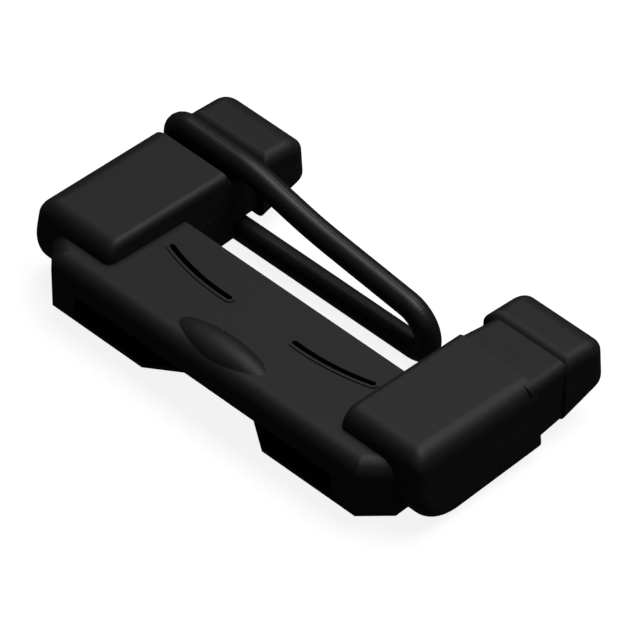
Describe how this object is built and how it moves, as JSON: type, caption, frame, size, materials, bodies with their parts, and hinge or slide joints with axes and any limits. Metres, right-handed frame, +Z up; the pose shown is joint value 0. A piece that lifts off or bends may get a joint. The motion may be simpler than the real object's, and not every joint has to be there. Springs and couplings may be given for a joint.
{
  "type": "strap_slider",
  "caption": "Black moulded strap slider with a wide flat tunnel between two rounded arms and a rubber loop on one arm that hooks over the other",
  "frame": {"origin": "The centre of the strap tunnel: half way between the two arms, half way through the plate and half way up the tunnel", "axes": "+X from the arm that carries the rubber loop to the other arm, +Y along the strap from the plate toward the heads of the arms, +Z up through the plate, away from the flat undersides"},
  "size_m": [0.0876, 0.0495, 0.0193],
  "materials": {
    "body": "black, fine matte mould texture",
    "screw": "plain zinc plated",
    "loop": "black, smooth moulded rubber with a soft sheen"
  },
  "bodies": {
    "housing": {"upper_shell": "body", "lower_shell": "body", "cover_screws": "screw", "loop_anchor": "loop"},
    "loop_root": {"loop_upper_root": "loop", "loop_lower_root": "loop"},
    "loop_free": {"loop_upper_strand": "loop", "loop_lower_strand": "loop", "loop_tip": "loop"}
  },
  "joints": [
    {"name": "loop_swing", "type": "hinge", "parent": "housing", "child": "loop_root", "pos_m": [-0.0211, 0.02415, 0.0025], "axis": [0, 0, 1], "range_deg": [-10, 30], "stiffness_Nm_per_rad": 0.02, "deforming": ["loop_upper_root", "loop_lower_root"]},
    {"name": "loop_lift", "type": "hinge", "parent": "loop_root", "child": "loop_free", "pos_m": [-0.017, 0.02415, 0.0025], "axis": [0, -1, 0], "range_deg": [0, 35], "stiffness_Nm_per_rad": 0.02, "deforming": ["loop_upper_strand", "loop_lower_strand"]}
  ]
}
